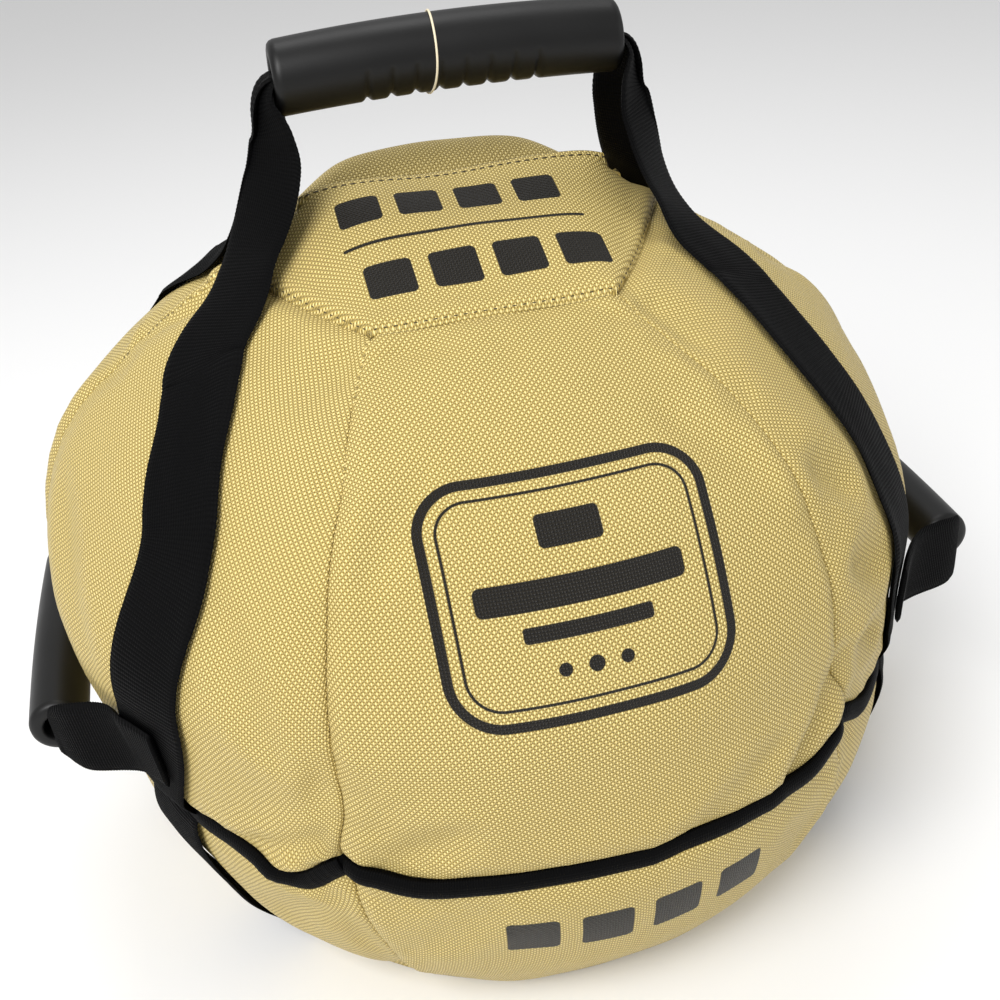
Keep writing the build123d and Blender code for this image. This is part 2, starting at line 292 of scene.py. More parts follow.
def inflate(azimuths, rows, kinds):
    """Cloth with pressure inside: the seams are drawn tight and the cloth between them is slack."""
    count, columns = rows.shape[:2]
    points = rows.reshape(-1, 3)
    faces = ring_faces(count, columns)
    last = (count - 1) * columns
    half = columns // 2
    for c in range(half):
        opposite = (columns - c) % columns
        faces.append((last + c, last + (c + 1), last + (columns - c - 1) % columns, last + opposite))
    faces = [tuple(dict.fromkeys(f)) for f in faces]
    faces = [f for f in faces if len(f) > 2]
    faces.append(tuple(reversed(range(columns))))
    mesh = bpy.data.meshes.new("cloth")
    mesh.from_pydata(points.tolist(), [], faces)
    ob = bpy.data.objects.new("cloth", mesh)
    bpy.context.collection.objects.link(ob)

    pin = ob.vertex_groups.new(name="pin")
    tight = ob.vertex_groups.new(name="tight")
    seam_columns = [c for c in range(columns) if seam_distance(azimuths[c]) < 0.01]
    for r, kind in enumerate(kinds):
        ids = [r * columns + c for c in range(columns)]
        if kind == "floor" or r == kinds.index("low") or r >= count - 2:
            pin.add(ids, 1.0, "REPLACE")
        if kind in ("waist", "rim"):
            tight.add(ids, 1.0, "REPLACE")
        if kind in ("low", "high"):
            tight.add([r * columns + c for c in seam_columns], 1.0, "REPLACE")

    cloth = ob.modifiers.new("Cloth", "CLOTH")
    for setting, value in CLOTH_SETTINGS.items():
        setattr(cloth.settings, setting, value)
    cloth.settings.effector_weights.gravity = 0.0
    cloth.collision_settings.use_collision = False
    cloth.point_cache.frame_start = 1
    cloth.point_cache.frame_end = CLOTH_FRAMES + 1

    scene = bpy.context.scene
    for step in range(1, CLOTH_FRAMES + 1):
        scene.frame_set(step)
    graph = bpy.context.evaluated_depsgraph_get()
    settled = ob.evaluated_get(graph).to_mesh()
    result = np.empty(len(points) * 3)
    settled.vertices.foreach_get("co", result)
    scene.frame_set(1)
    bpy.data.objects.remove(ob)
    bpy.data.meshes.remove(mesh)
    move = result.reshape(-1, 3) - points
    normals = grid_normals(rows, True).reshape(-1, 3)
    out = np.sum(move * normals, axis=1, keepdims=True)
    along = move - out * normals
    slide = np.linalg.norm(along, axis=1, keepdims=True)
    print("cloth out, mm:", [round(float(v) / MM, 2) for v in (out.min(), out.mean(), out.max())])
    along = along * np.minimum(1, CLOTH_SLIDE / np.maximum(slide, 1e-9))
    share = np.ones(count)
    rim, waist = kinds.index("rim"), kinds.index("waist")
    share[rim - 1:rim + 3] = RIM_SHARES
    share[rim + 3:] = 0
    share[waist - 2:waist + 4] = WAIST_SHARES
    moved = (along + normals * np.clip(out, -CLOTH_IN, CLOTH_OUT)).reshape(rows.shape)
    ring = np.concatenate([moved[:, -6:], moved, moved[:, :6]], axis=1)
    moved = blur(ring.swapaxes(0, 1), 1.0).swapaxes(0, 1)[:, 6:-6]
    moved *= (1 - 0.6 * np.exp(-(seam_distance(azimuths) / 2.5) ** 2))[None, :, None]
    return rows + moved * share[:, None, None]


# ---------------------------------------------------------------- grids

def resample(grid, rows, columns, closed):
    """A grid of points read at fractional rows and columns by a Catmull-Rom surface."""

    def along(g, at, wrap):
        n = len(g)
        i = np.floor(at).astype(int)
        if not wrap:
            i = np.clip(i, 0, n - 2)
        t = (at - i).reshape((-1,) + (1,) * (g.ndim - 1))
        if wrap:
            p = [g[(i + k) % n] for k in (-1, 0, 1, 2)]
        else:
            p = [g[np.clip(i + k, 0, n - 1)] for k in (-1, 0, 1, 2)]
            first, last = (i == 0), (i == n - 2)
            p[0][first] = 2 * p[1][first] - p[2][first]
            p[3][last] = 2 * p[2][last] - p[1][last]
        return 0.5 * ((2 * p[1]) + (-p[0] + p[2]) * t + (2 * p[0] - 5 * p[1] + 4 * p[2] - p[3]) * t ** 2
                      + (-p[0] + 3 * p[1] - 3 * p[2] + p[3]) * t ** 3)

    g = along(grid, rows, False)
    return along(g.swapaxes(0, 1).copy(), columns, closed).swapaxes(0, 1)


def blur(values, sigma):
    """Gaussian blur down the rows, with the ends held."""
    reach = int(3 * sigma) + 1
    weights = np.exp(-0.5 * (np.arange(-reach, reach + 1) / sigma) ** 2)
    padded = np.concatenate([np.repeat(values[:1], reach, 0), values, np.repeat(values[-1:], reach, 0)])
    total = sum(w * padded[k:k + len(values)] for k, w in enumerate(weights))
    return total / weights.sum()


def grid_normals(grid, closed):
    """Unit normals of a grid, to the left of its rows as they climb: outwards on the bag."""
    if closed:
        du = np.roll(grid, -1, axis=1) - np.roll(grid, 1, axis=1)
    else:
        du = np.gradient(grid, axis=1)
    dv = np.gradient(grid, axis=0)
    n = np.cross(du, dv)
    return n / np.maximum(np.linalg.norm(n, axis=2, keepdims=True), 1e-12)


def wobble(points, scale, seed):
    """Smooth noise from -1 to 1, the same on each run: a few crossed waves with warped phases."""
    rng = np.random.default_rng(seed)
    total = np.zeros(points.shape[:-1])
    for _ in range(7):
        direction = rng.normal(size=3)
        direction /= np.linalg.norm(direction)
        across = rng.normal(size=3)
        phase = rng.uniform(0, 2 * np.pi)
        warp = np.sin(points @ across / scale * 1.7 + phase)
        total += np.sin(points @ direction * (2 * np.pi / scale) * rng.uniform(0.6, 1.4) + phase + 1.3 * warp)
    return total / 4.0


def link(name, points, faces, body, slot, uv=None, finish=None):
    """A mesh piece that rides on a body. finish is a material other than the slot's own."""
    mesh = bpy.data.meshes.new(name)
    mesh.from_pydata(np.asarray(points).tolist(), [], faces)
    if uv is not None:
        layer = mesh.uv_layers.new(name="UVMap")
        loops = np.empty(len(mesh.loops), int)
        mesh.loops.foreach_get("vertex_index", loops)
        layer.data.foreach_set("uv", np.asarray(uv)[loops].ravel())
    mesh.polygons.foreach_set("use_smooth", [True] * len(mesh.polygons))
    mesh.validate()
    mesh.update()
    ob = bpy.data.objects.new(name, mesh)
    bpy.context.collection.objects.link(ob)
    ob.data.materials.append(MATERIALS[finish or slot])
    if body:
        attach(ob, body)
    return ob


def sheet_mesh(outer, inner, uv, closed=False):
    """A closed shell between two grids: both faces and the walls round the edge."""
    rows, columns = outer.shape[:2]
    size = rows * columns
    points = np.concatenate([outer.reshape(-1, 3), inner.reshape(-1, 3)])
    faces = []
    last = columns if closed else columns - 1
    for r in range(rows - 1):
        for c in range(last):
            n = (c + 1) % columns
            a, b, d, e = r * columns + c, r * columns + n, (r + 1) * columns + n, (r + 1) * columns + c
            faces.append((a, b, d, e))
            faces.append((size + e, size + d, size + b, size + a))
    for c in range(last):
        n = (c + 1) % columns
        faces.append((n, c, size + c, size + n))
        top = (rows - 1) * columns
        faces.append((top + c, top + n, size + top + n, size + top + c))
    if not closed:
        for r in range(rows - 1):
            a, b = r * columns, (r + 1) * columns
            faces.append((a, b, size + b, size + a))
            a, b = a + columns - 1, b + columns - 1
            faces.append((b, a, size + a, size + b))
    return points, faces, np.concatenate([uv.reshape(-1, 2)] * 2)


# ---------------------------------------------------------------- materials

RIB = 1.4 * MM


def nodes_of(name):
    material = bpy.data.materials.new(name)
    material.use_nodes = True
    tree = material.node_tree
    shader = tree.nodes["Principled BSDF"]
    return material, tree, shader


def math_node(tree, operation, *inputs, clamp=False):
    node = tree.nodes.new("ShaderNodeMath")
    node.operation = operation
    node.use_clamp = clamp
    for socket, value in zip(node.inputs, inputs):
        if isinstance(value, (int, float)):
            socket.default_value = value
        else:
            tree.links.new(value, socket)
    return node.outputs[0]


def times(tree, first, second):
    return math_node(tree, "MULTIPLY", first, second)


def finish_surface(tree, shader, colour, rough, normal, specular=None):
    """Connects a surface's colour, roughness and relief, and sets its specular level."""
    for socket, output in (("Base Color", colour), ("Roughness", rough), ("Normal", normal)):
        tree.links.new(output, shader.inputs[socket])
    if specular is not None:
        shader.inputs["Specular IOR Level"].default_value = specular


def mix_colour(tree, factor, first, second):
    node = tree.nodes.new("ShaderNodeMix")
    node.data_type = "RGBA"
    for socket, value in ((node.inputs[0], factor), (node.inputs[6], first), (node.inputs[7], second)):
        if isinstance(value, (int, float)):
            socket.default_value = value
        elif isinstance(value, tuple):
            socket.default_value = (*value, 1)
        else:
            tree.links.new(value, socket)
    return node.outputs[2]


def noise(tree, scale, detail=2.0, vector=None):
    node = tree.nodes.new("ShaderNodeTexNoise")
    node.inputs["Scale"].default_value = scale
    node.inputs["Detail"].default_value = detail
    if vector is None:
        coordinates = tree.nodes.new("ShaderNodeTexCoord")
        vector = coordinates.outputs["Object"]
    tree.links.new(vector, node.inputs["Vector"])
    return node.outputs[0]


def ramp(tree, factor, *stops):
    node = tree.nodes.new("ShaderNodeValToRGB")
    while len(node.color_ramp.elements) < len(stops):
        node.color_ramp.elements.new(0.5)
    for element, (at, colour) in zip(node.color_ramp.elements, stops):
        element.position = at
        element.color = (*colour, 1)
    tree.links.new(factor, node.inputs[0])
    return node.outputs[0]


def bump(tree, height, distance, strength=1.0, under=None):
    node = tree.nodes.new("ShaderNodeBump")
    node.inputs["Strength"].default_value = strength
    node.inputs["Distance"].default_value = distance
    tree.links.new(height, node.inputs["Height"])
    if under is not None:
        tree.links.new(under, node.inputs["Normal"])
    return node.outputs[0]


def uv_parts(tree):
    uv = tree.nodes.new("ShaderNodeUVMap")
    uv.uv_map = "UVMap"
    parts = tree.nodes.new("ShaderNodeSeparateXYZ")
    tree.links.new(uv.outputs[0], parts.inputs[0])
    return parts.outputs[0], parts.outputs[1]


def plain_weave(tree, u, v, pitch):
    """Heights of a plain weave's threads: warp over weft over warp, with a hole at each crossing's corners, and a
    mask of these holes that the canvas uses for painted shade.
    """
    a = times(tree, u, math.pi / pitch)
    b = times(tree, v, math.pi / pitch)
    sa, sb = math_node(tree, "SINE", a), math_node(tree, "SINE", b)
    both = times(tree, sa, sb)
    warp = math_node(tree, "ADD", math_node(tree, "ABSOLUTE", sa), both)
    weft = math_node(tree, "SUBTRACT", math_node(tree, "ABSOLUTE", sb), both)
    under = math_node(tree, "MULTIPLY_ADD", both, -1.9, -0.35, clamp=True)
    return times(tree, math_node(tree, "MAXIMUM", warp, weft), 0.5), under


WEAVE_PITCH = 1.05 * MM
WEAVE_RELIEF = 0.38 * MM
CORD_PITCH = 1.1 * MM
DRIFT = 0.9 * MM
INK_EDGE = 0.3 * MM


def printed_marks(tree, u, v, marks):
    """Ink coverage of rounded bars, and outlines where a line width is given, on a panel's flat pattern."""
    total = None
    for x, y, half_width, half_height, corner, line in marks:
        sides = []
        for value, middle, half in ((u, x, half_width), (v, y, half_height)):
            off = math_node(tree, "ABSOLUTE", math_node(tree, "SUBTRACT", value, middle))
            sides.append(math_node(tree, "MAXIMUM", math_node(tree, "SUBTRACT", off, half - corner), 0.0))
        squares = [times(tree, side, side) for side in sides]
        distance = math_node(tree, "SQRT", math_node(tree, "ADD", *squares))
        distance = math_node(tree, "SUBTRACT", distance, corner)
        if line:
            distance = math_node(tree, "SUBTRACT", math_node(tree, "ABSOLUTE", distance), 0.5 * line)
        mark = math_node(tree, "MULTIPLY_ADD", distance, -1 / INK_EDGE, 0.5, clamp=True)
        total = mark if total is None else math_node(tree, "MAXIMUM", total, mark)
    return total


def canvas_material(name, marks=()):
    material, tree, shader = nodes_of(name)
    u, v = uv_parts(tree)
    drift = noise(tree, 60.0, 2.0)
    u2 = math_node(tree, "ADD", u, times(tree, drift, DRIFT))
    v2 = math_node(tree, "ADD", v, times(tree, drift, -DRIFT))
    height, under = plain_weave(tree, u2, v2, WEAVE_PITCH)
    # Colour by thread height: painted shade in the weave's low parts, painted highlight (cream) on the thread
    # tops.
    thread = ramp(tree, height, (0.0, (0.05, 0.032, 0.006)), (0.28, (0.16, 0.105, 0.018)),
                  (0.48, (0.64, 0.48, 0.135)), (0.90, (0.96, 0.82, 0.40)))
    # Painted shade: the holes at the thread crossings are darkened.
    thread = mix_colour(tree, times(tree, under, 0.80), thread, (0.095, 0.060, 0.009))
    slub = noise(tree, 700.0, 2.0)
    thread = mix_colour(tree, times(tree, slub, 0.22), thread, (0.68, 0.51, 0.17))
    blotch = noise(tree, 13.0, 3.0)
    tone = mix_colour(tree, times(tree, blotch, 0.26), thread, (0.40, 0.285, 0.065))
    if marks:
        ink = printed_marks(tree, u, v, marks)
        ink_wear_and_rib_highlight = math_node(tree, "MULTIPLY_ADD", height, 0.05, 0.96, clamp=True)
        cover = times(tree, ink, ink_wear_and_rib_highlight)
        tone = mix_colour(tree, cover, tone, (0.0035, 0.003, 0.0028))
    rough = math_node(tree, "MULTIPLY_ADD", height, -0.14, 0.52)
    shader.inputs["Sheen Weight"].default_value = 0.03
    shader.inputs["Sheen Roughness"].default_value = 0.5
    finish_surface(tree, shader, tone, rough, bump(tree, height, WEAVE_RELIEF, 1.0), 0.22)
    return material


def webbing_material(name, colour, pitch):
    """Ribbed webbing: ribs across, fine warp cords along, with a painted highlight on the rib tops."""
    material, tree, shader = nodes_of(name)
    u, v = uv_parts(tree)
    waves = []
    for along, step, share in ((v, pitch, 0.65), (u, CORD_PITCH, 0.35)):
        wave = math_node(tree, "SINE", times(tree, along, math.pi / step))
        waves.append(times(tree, math_node(tree, "ABSOLUTE", wave), share))
    weave = math_node(tree, "ADD", *waves)
    fuzz = noise(tree, 1500.0, 2.0)
    # Painted highlight: the rib tops are mixed towards a lighter colour, in patches set by noise.
    ink_wear_and_rib_highlight = times(tree, noise(tree, 30.0, 3.0), weave)
    light = tuple(min(1, 2.2 * c + 0.0012) for c in colour)
    base = mix_colour(tree, times(tree, ink_wear_and_rib_highlight, 0.8), colour, light)
    rough = math_node(tree, "ADD", 0.52, times(tree, fuzz, 0.16))
    under = bump(tree, fuzz, 0.08 * MM, 0.6)
    finish_surface(tree, shader, base, rough, bump(tree, weave, 0.3 * MM, 0.8, under), 0.05)
    return material


def rubber_material():
    material, tree, shader = nodes_of("grip_rubber")
    grain = noise(tree, 1400.0, 3.0)
    smudge = noise(tree, 35.0, 3.0)
    colour = mix_colour(tree, smudge, (0.0012, 0.0012, 0.0012), (0.003, 0.0029, 0.0028))
    rough = math_node(tree, "ADD", 0.36, times(tree, smudge, 0.16))
    finish_surface(tree, shader, colour, rough, bump(tree, grain, 0.05 * MM, 0.5), 0.30)
    return material


def plain_material(name, colour, second, rough, scale, metallic=0.0, depth=0.05 * MM):
    """A surface with fine grain and two close tones."""
    material, tree, shader = nodes_of(name)
    grain = noise(tree, scale, 3.0)
    tone = mix_colour(tree, grain, colour, second)
    roughness = math_node(tree, "ADD", rough - 0.08, times(tree, grain, 0.16))
    shader.inputs["Metallic"].default_value = metallic
    finish_surface(tree, shader, tone, roughness, bump(tree, grain, depth, 0.7))
    return material


# Plain printed marks on the flat panels, in metres: middle across and up, half width and height,
# corner radius, and the outline's width, or 0 where the mark is filled
FRONT_MARKS = [
    (0.0, 0.110, 0.0465, 0.0385, 0.016, 3.4 * MM),
    (0.0, 0.110, 0.0410, 0.0330, 0.011, 1.0 * MM),
    (0.0, 0.130, 0.0105, 0.0055, 2.0 * MM, 0),
    (0.0, 0.111, 0.034, 0.0048, 2.4 * MM, 0),
    (0.0, 0.099, 0.021, 0.0026, 1.3 * MM, 0),
    (-0.010, 0.087, 0.0022, 0.0022, 2.2 * MM, 0),
    (0.0, 0.087, 0.0026, 0.0026, 2.6 * MM, 0),
    (0.010, 0.087, 0.0022, 0.0022, 2.2 * MM, 0),
]
LOWER_MARKS = [(x, 0.088, 0.0095, 0.0120, 2.4 * MM, 0) for x in (-0.034, -0.007, 0.020, 0.047)]
TOP_MARKS = [(x, 0.024, 0.0085, 0.0085, 2.2 * MM, 0) for x in (-0.037, -0.014, 0.009, 0.032)]
TOP_MARKS += [(x, 0.062, 0.0080, 0.0075, 2.2 * MM, 0) for x in (-0.041, -0.019, 0.003, 0.025)]
TOP_MARKS.append((-0.006, 0.0435, 0.044, 0.0008, 0.7 * MM, 0))

MATERIALS = {
    "canvas": canvas_material("golden_canvas"),
    "front_print": canvas_material("golden_canvas_front", FRONT_MARKS),
    "lower_print": canvas_material("golden_canvas_lower", LOWER_MARKS),
    "top_print": canvas_material("golden_canvas_top", TOP_MARKS),
    "webbing": webbing_material("black_webbing", (0.0009, 0.0009, 0.001), RIB),
    "band_tape": webbing_material("black_tape", (0.0007, 0.0007, 0.0008), 0.9 * MM),
    "grip_rubber": rubber_material(),
    "thread": plain_material("light_thread", (0.62, 0.52, 0.34), (0.82, 0.74, 0.55), 0.6, 2600.0),
    "stitching": plain_material("dark_stitching", (0.022, 0.016, 0.006), (0.060, 0.044, 0.016), 0.6, 2600.0),
    "zip_tape": webbing_material("zip_tape", (0.012, 0.012, 0.012), 0.7 * MM),
    "zip_teeth": plain_material("zip_teeth", (0.016, 0.016, 0.016), (0.03, 0.03, 0.03), 0.4, 1500.0),
    "zip_metal": plain_material("zip_metal", (0.03, 0.03, 0.03), (0.05, 0.05, 0.05), 0.32, 900.0,
                                0.6, 0.02 * MM),
    "filler_cloth": plain_material("filler_cloth", (0.36, 0.36, 0.34), (0.5, 0.5, 0.48), 0.8, 1200.0),
    "hook_and_loop": plain_material("hook_and_loop", (0.01, 0.01, 0.01), (0.04, 0.04, 0.04), 0.9, 1800.0),
    "sand": plain_material("sand", (0.5, 0.4, 0.26), (0.74, 0.64, 0.46), 0.9, 900.0, 0.0, 0.4 * MM),
}


# ---------------------------------------------------------------- the bag's panels

FABRIC = 1.6 * MM
FINE_COLUMNS = 84
FINE_LOW, FINE_HIGH, FINE_TOP = 52, 92, 40


def fine_surface():
    """The settled bag at display density: heights of detail are added to it afterwards, then panels are cut from
    it.
    """
    azimuths, start, kinds = start_shape()
    settled = inflate(azimuths, start, kinds)
    first_low = kinds.index("low")
    waist_row = kinds.index("waist")
    rim_row = kinds.index("rim")
    last = len(kinds) - 1

    def span(a, b, count, crowd):
        return a + (b - a) * graded(count, crowd)

    rows = np.concatenate([span(first_low, waist_row, FINE_LOW, 0.5)[:-1],
                           span(waist_row, rim_row, FINE_HIGH, 0.4)[:-1],
                           span(rim_row, last, FINE_TOP, 0.4)])
    step = SIM_COLUMNS * graded(FINE_COLUMNS, COLUMN_CROWD)[:-1]
    columns = np.concatenate([panel * SIM_COLUMNS + step for panel in range(6)])
    grid = resample(settled, rows, columns, True)
    cut = {"waist": FINE_LOW, "rim": FINE_LOW + FINE_HIGH}
    return grid, cut


def arc_along(grid, axis):
    step = np.linalg.norm(np.diff(grid, axis=axis), axis=2)
    zero = np.zeros_like(np.take(step, [0], axis=axis))
    return np.concatenate([zero, np.cumsum(step, axis=axis)], axis=axis)


# Soft folds pressed into the cloth: from azimuth and height to azimuth and height, half width and depth in mm
FOLDS = [
    (226, 0.212, 234, 0.165, 8, 1.4), (226, 0.124, 238, 0.137, 6, 2.2), (230, 0.1155, 239, 0.121, 5, 2.2),
    (244, 0.121, 254, 0.143, 8, 2.2), (305, 0.222, 311, 0.207, 8, 3.6), (305, 0.188, 313, 0.174, 8, 4.0),
    (305, 0.156, 312, 0.145, 7, 3.0), (289, 0.122, 302, 0.156, 8, 3.4), (276, 0.120, 289, 0.142, 9, 1.6),
    (190, 0.214, 206, 0.172, 9, 1.8), (186, 0.152, 202, 0.136, 7, 1.6), (246, 0.066, 256, 0.100, 9, 1.2),
    (222, 0.052, 233, 0.092, 8, 1.4), (290, 0.086, 297, 0.050, 8, 1.2), (62, 0.205, 72, 0.170, 8, 2.0),
    (118, 0.142, 107, 0.165, 7, 1.8), (22, 0.196, 34, 0.160, 8, 1.7), (140, 0.190, 152, 0.156, 8, 1.7),
    (88, 0.131, 99, 0.148, 8, 1.4), (346, 0.205, 334, 0.168, 8, 1.5), (75, 0.090, 66, 0.060, 8, 1.2),
    (166, 0.095, 156, 0.060, 8, 1.2), (20, 0.092, 33, 0.055, 8, 1.2), (244, 0.222, 252, 0.247, 7, 1.2),
    (288, 0.250, 297, 0.226, 7, 1.3), (208, 0.258, 220, 0.236, 6, 1.2),
]


def fold_depth(grid):
    depth = np.zeros(grid.shape[:2])
    for az1, z1, az2, z2, width, size in FOLDS:
        t = np.linspace(0, 1, 15)
        line = skin(az1 + (az2 - az1) * t, z1 + (z2 - z1) * t)
        away = np.full(grid.shape[:2], 1.0)
        for k, point in enumerate(line):
            away = np.minimum(away, np.linalg.norm(grid - point, axis=2) + 7 * MM * abs(2 * t[k] - 1) ** 3)
        away = away / (width * MM)
        depth += size * MM * (0.45 * np.exp(-(away - 1.7) ** 2 / 0.7) - np.exp(-away ** 2))
    return depth


def strap_azimuth(height, x_sign, y_sign):
    """Where a strap runs: over the shoulder the front ones stray a little to the right."""
    stray = -2.3 * x_sign * (y_sign < 0) * np.exp(-((height - 0.215) / 0.025) ** 2)
    angle = np.radians(smooth(height, STATIONS[:, 0], STATIONS[:, 4]) + stray)
    return np.degrees(np.arctan2(y_sign * np.sin(angle), x_sign * np.cos(angle))) % 360


def add_detail(grid, cut):
    """Seam grooves, puckers that run off the seams, folds, and the straps' press into the cloth."""
    normals = grid_normals(grid, True)
    row_index = np.arange(grid.shape[0])
    around = arc_along(np.concatenate([grid, grid[:, :1]], axis=1), 1)
    whole, around = around[:, -1:], around[:, :-1]
    up = arc_along(grid, 0)
    side = np.where(row_index <= cut["rim"], 1.0, 0.0)[:, None]
    depth = np.zeros(grid.shape[:2])
    noise_wide, noise_seam = wobble(grid, 0.11, 4), wobble(grid, 0.09, 3)
    to_waist = np.abs(up - up[cut["waist"]][None, :])
    for index in range(6):
        offset = around - around[:, index * FINE_COLUMNS:index * FINE_COLUMNS + 1]
        offset = (offset + 0.5 * whole) % whole - 0.5 * whole
        slack = -1 if index in (1, 4) else 1
        depth -= side * 2.1 * MM * np.exp(-np.abs(offset) / (1.1 * MM))
        depth -= side * swell(offset, 0.8, 4)
        depth -= side * 2.6 * MM * np.exp(-(offset / (6 * MM)) ** 2 - (to_waist / (17 * MM)) ** 2)
        depth += side * swell(offset * slack, 0.7, 5, -6)
        hollow = swell(offset * slack, 1.1, 7, 7)
        depth -= side * hollow * (1.0 + 0.8 * np.clip(noise_wide, -0.8, 1))
        ripple = np.sin(up * 2 * np.pi / (13 * MM) + 2.2 * noise_seam)
        depth += side * 0.3 * MM * ripple * np.exp(-(offset / (12 * MM)) ** 2) * (0.4 + 0.6 * noise_wide)
    to_rim = np.abs(up - up[cut["rim"]][None, :])
    depth -= swell(to_rim, 1.1, 2.4)
    depth += swell(to_rim, 0.8, 4, 6)
    depth -= swell(to_waist, 1.0, 5)
    waist_ripple = np.sin(around * 2 * np.pi / (15 * MM) + 2.0 * wobble(grid, 0.08, 5))
    depth += 0.3 * MM * waist_ripple * np.exp(-((to_waist - 12 * MM) / (7 * MM)) ** 2)
    stretched = grid * [1.0, 1.0, 0.55]
    depth += 0.8 * MM * wobble(stretched, 0.075, 6) + 0.3 * MM * wobble(stretched, 0.032, 7)
    height = grid[..., 2]
    azimuth = np.degrees(np.arctan2(grid[..., 1], grid[..., 0] + slump(height))) % 360
    radius = np.hypot(grid[..., 1], grid[..., 0] + slump(height))
    for x_sign in (-1, 1):
        for y_sign in (-1, 1):
            away = np.radians((azimuth - strap_azimuth(height, x_sign, y_sign) + 180) % 360 - 180) * radius
            press = np.exp(-(away / (17 * MM)) ** 4)
            depth -= side * 1.3 * MM * press * ease((height - 5 * MM) / (20 * MM))
    depth += side * fold_depth(grid)
    floor = np.clip((height - 2 * MM) / (12 * MM), 0, 1)
    return grid + normals * (depth * floor)[..., None]


def panel_uv(grid):
    """Flat pattern coordinates in metres: across from the panel's centre line, and along it."""
    across = arc_along(grid, 1)
    middle = grid.shape[1] // 2
    along = arc_along(grid, 0)[:, middle:middle + 1]
    return np.stack([across - across[:, middle:middle + 1], np.repeat(along, grid.shape[1], axis=1)], -1)


def top_uv(grid):
    """Flat pattern coordinates of a gently sloped top panel: across, and back from the rim."""
    return np.stack([grid[..., 0], 1.06 * (grid[..., 1] + 0.87 * RIM_RADIUS)], -1)


def cut_panel(node, grid, normals, finish="canvas", hem=0.0):
    """One sewn panel as its own closed shell. hem is extra thickness where the top's cloth is doubled."""
    from_edge = arc_along(grid[::-1], 0)[::-1]
    thickness = FABRIC + hem * np.exp(-(from_edge / (7 * MM)) ** 6)
    uv = top_uv(grid) if hem else panel_uv(grid)
    points, faces, uvs = sheet_mesh(grid, grid - normals * thickness[..., None], uv)
    ob = link(node + "_cloth", points, faces, "bag", "canvas", uvs, finish)
    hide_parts(node)


def build_panels(grid, cut):
    normals = grid_normals(grid, True)
    waist, rim = cut["waist"], cut["rim"]
    prints = {"front_panel": "front_print", "lower_front_panel": "lower_print"}
    for index, side in enumerate(PANELS.values()):
        first = index * FINE_COLUMNS
        columns = np.arange(first, first + FINE_COLUMNS + 1) % grid.shape[1]
        for node, rows in ((side + "_panel", slice(waist, rim + 1)),
                           ("lower_" + side + "_panel", slice(0, waist + 1))):
            cut_panel(node, grid[rows][:, columns], normals[rows][:, columns], prints.get(node, "canvas"))
    half = grid.shape[1] // 2
    for node, first, finish, hem in (("top_back_panel", 0, "canvas", 0.4 * MM),
                                     ("top_front_panel", half, "top_print", 1.2 * MM)):
        columns = np.arange(first, first + half + 1) % grid.shape[1]
        cut_panel(node, grid[rim:][:, columns], normals[rim:][:, columns], finish, hem)


def disc_body(name, rings, slot, replaced):
    """A closed body from rings of points, with a point in the middle of its floor and of its top."""
    count, columns = rings.shape[:2]
    points = np.concatenate([rings.reshape(-1, 3), rings[:1].mean(axis=1), rings[-1:].mean(axis=1)])
    faces = ring_faces(count, columns)
    low, high = count * columns, count * columns + 1
    for c in range(columns):
        n = (c + 1) % columns
        faces.append((low, n, c))
        faces.append((high, (count - 1) * columns + c, (count - 1) * columns + n))
    ob = link(name, points, faces, "bag", slot, points[:, :2])
    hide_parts(replaced)
    return ob


def build_bottom(grid):
    outline = grid[0].copy()
    scale = np.linspace(0.12, 1, 9)[:, None, None] * [1, 1, 0]
    under = outline[None] * scale
    under[-1] = outline * [0.992, 0.992, 0]
    over = under[::-1].copy() + [0, 0, FABRIC]
    edge = (outline * [0.998, 0.998, 0] + [0, 0, 0.5 * FABRIC])[None]
    disc_body("bottom_panel_cloth", np.concatenate([under, edge, over]), "canvas", "bottom_panel")


def build_filling(grid, cut):
    """The liner bag and the sand in it, a little inside the skin."""
    side = grid[:cut["rim"] + 1:4, ::4]
    normals = grid_normals(side, True)
    for name, inset, top, slot, node in (("filler_bag_cloth", 7 * MM, 0.258, "filler_cloth", "filler_bag"),
                                         ("sand_heap", 9 * MM, 0.254, "sand", "sand_fill")):
        body = side - normals * inset
        body[..., 2] = np.maximum(body[..., 2], 0.35 * inset)
        keep = int(np.argmax(body[..., 2].mean(axis=1) > top - 8 * MM))
        body = body[:keep]
        middle = np.array([-SLUMP, 0, 0])
        cap = []
        for share in (0.86, 0.6, 0.3, 0.06):
            ring = (body[-1] - middle) * [share, share, 0] + middle
            ring[:, 2] = top - 3 * MM * share + 0.6 * MM * np.sin(ring[:, 0] * 190) * np.cos(ring[:, 1] * 160)
            cap.append(ring)
        floor = body[0] * [0.1, 0.1, 0] + [0, 0, 0.35 * inset]
        rings = np.concatenate([floor[None], body[0][None] * [0.6, 0.6, 1], body, cap])
        ob = disc_body(name, rings, slot, node)


# ---------------------------------------------------------------- webbing

WEBBING = 34 * MM
WEBBING_THICKNESS = 2.0 * MM
SEWN_RISE = 17 * MM


def unit(v):
    return v / np.maximum(np.linalg.norm(v, axis=-1, keepdims=True), 1e-12)


def even_path(points, step, *tracks):
    """A smooth curve through the points with even steps, and tracks of values carried along it."""
    points = np.asarray(points, float)
    table = np.concatenate([points] + [np.asarray(t, float).reshape(len(points), -1) for t in tracks], axis=1)
    fine = resample(table[:, None, :].repeat(2, axis=1), np.linspace(0, len(points) - 1, 40 * len(points)),
                    np.array([0.0]), False)[:, 0]
    arc = np.concatenate([[0], np.cumsum(np.linalg.norm(np.diff(fine[:, :3], axis=0), axis=1))])
    at = np.linspace(0, arc[-1], int(arc[-1] / step) + 1)
    even = np.stack([np.interp(at, arc, fine[:, k]) for k in range(fine.shape[1])], -1)
    return even, at


